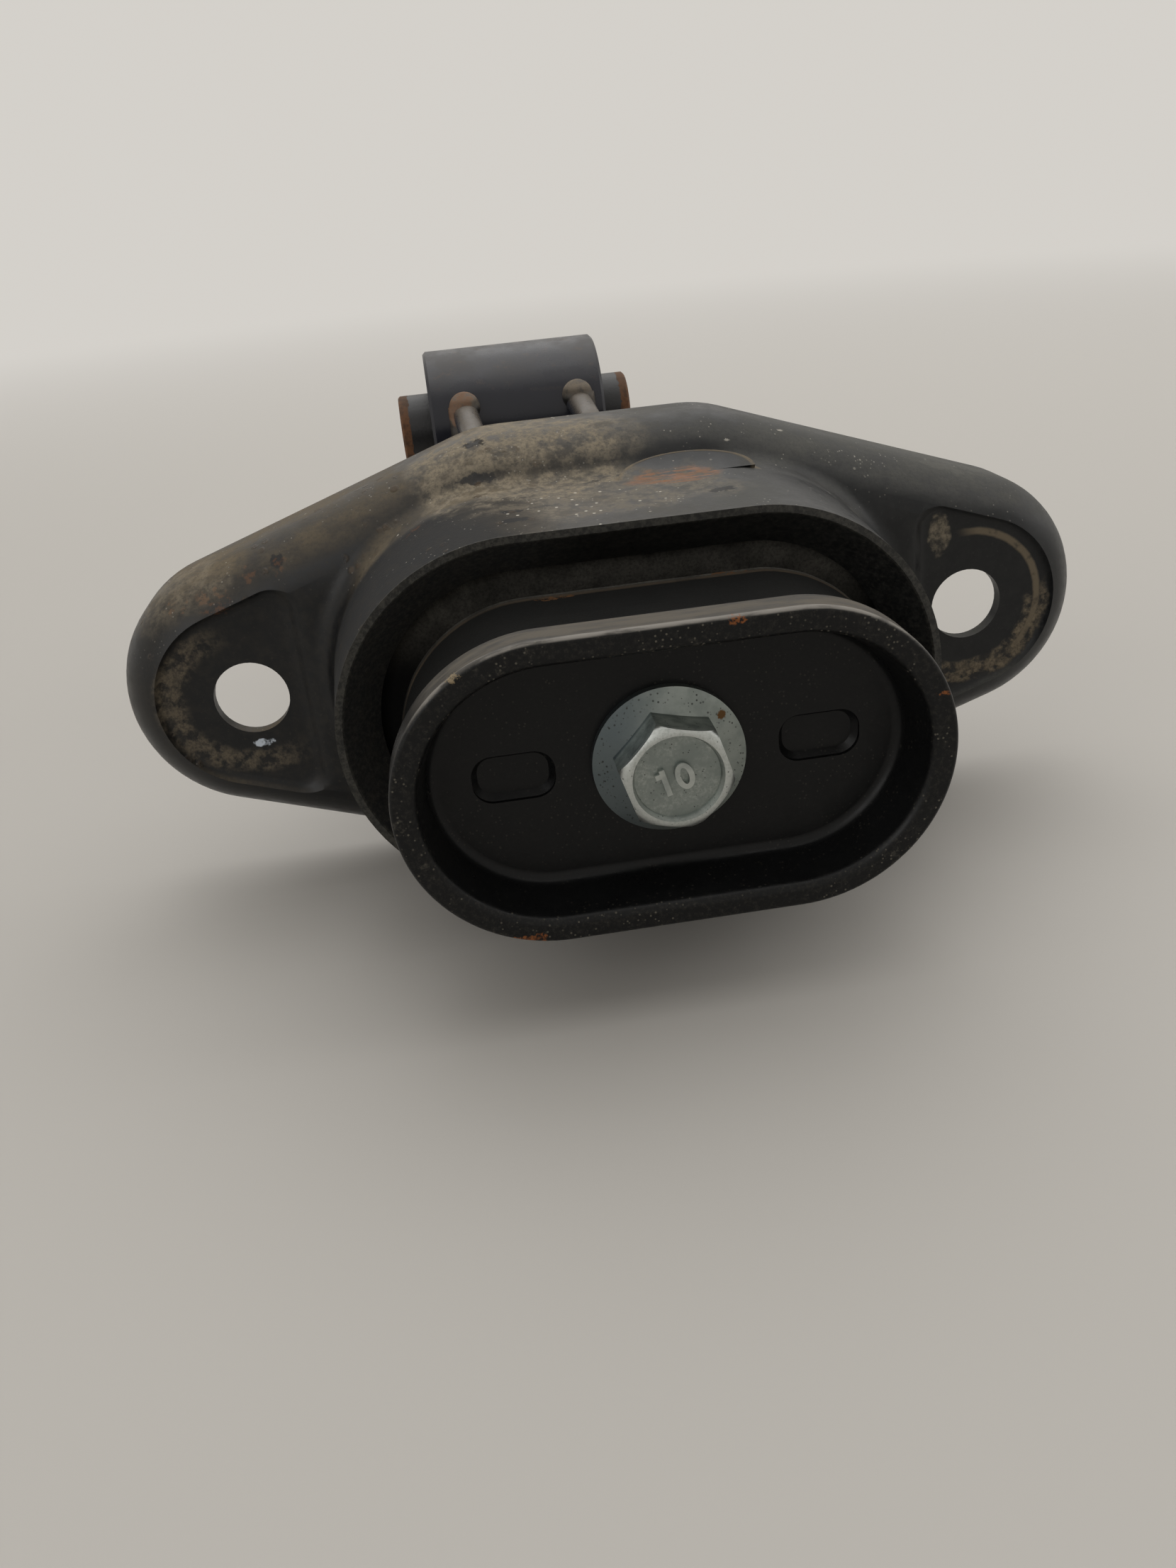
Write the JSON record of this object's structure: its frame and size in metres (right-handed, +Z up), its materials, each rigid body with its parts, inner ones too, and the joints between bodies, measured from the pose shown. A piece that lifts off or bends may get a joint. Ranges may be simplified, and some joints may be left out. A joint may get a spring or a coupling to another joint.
{
  "type": "transmission mount",
  "caption": "Transmission mount: stamped two-eared bracket with a drawn collar, rubber cushions clamped by a flange bolt and stop plate, and a welded link arm ending in a bushed eye",
  "frame": {"origin": "midway between the two ear holes, on the rear faces of the ear pads, where the mount is bolted on", "axes": "+Y along the link axis from the bolt head to the eye, +X through the two ear holes, +Z up towards the straight crown edge"},
  "size_m": [0.202, 0.231, 0.0922],
  "materials": {
    "bracket_steel": "satin black dip coat, dusty",
    "plate_steel": "satin black dip coat",
    "link_steel": "glossy black coat",
    "bolt_zinc": "matt zinc plating",
    "bare_steel": "bare steel, rusted at the ends",
    "weld_metal": "dusty weld bead",
    "cushion_rubber": "matt",
    "bush_rubber": "matt"
  },
  "bodies": {
    "root": {"housing_bracket": "bracket_steel", "front_stop_plate": "plate_steel", "flange_bolt": "bolt_zinc", "front_cushion": "cushion_rubber", "rear_cushion": "cushion_rubber", "spacer_sleeve": "bare_steel", "rear_stop_plate": "plate_steel", "weld_nut": "bolt_zinc", "link_arm": "link_steel", "eye_tube": "link_steel", "eye_bush": "bush_rubber", "eye_inner_sleeve": "bare_steel", "weld_beads": "weld_metal"}
  },
  "joints": []
}
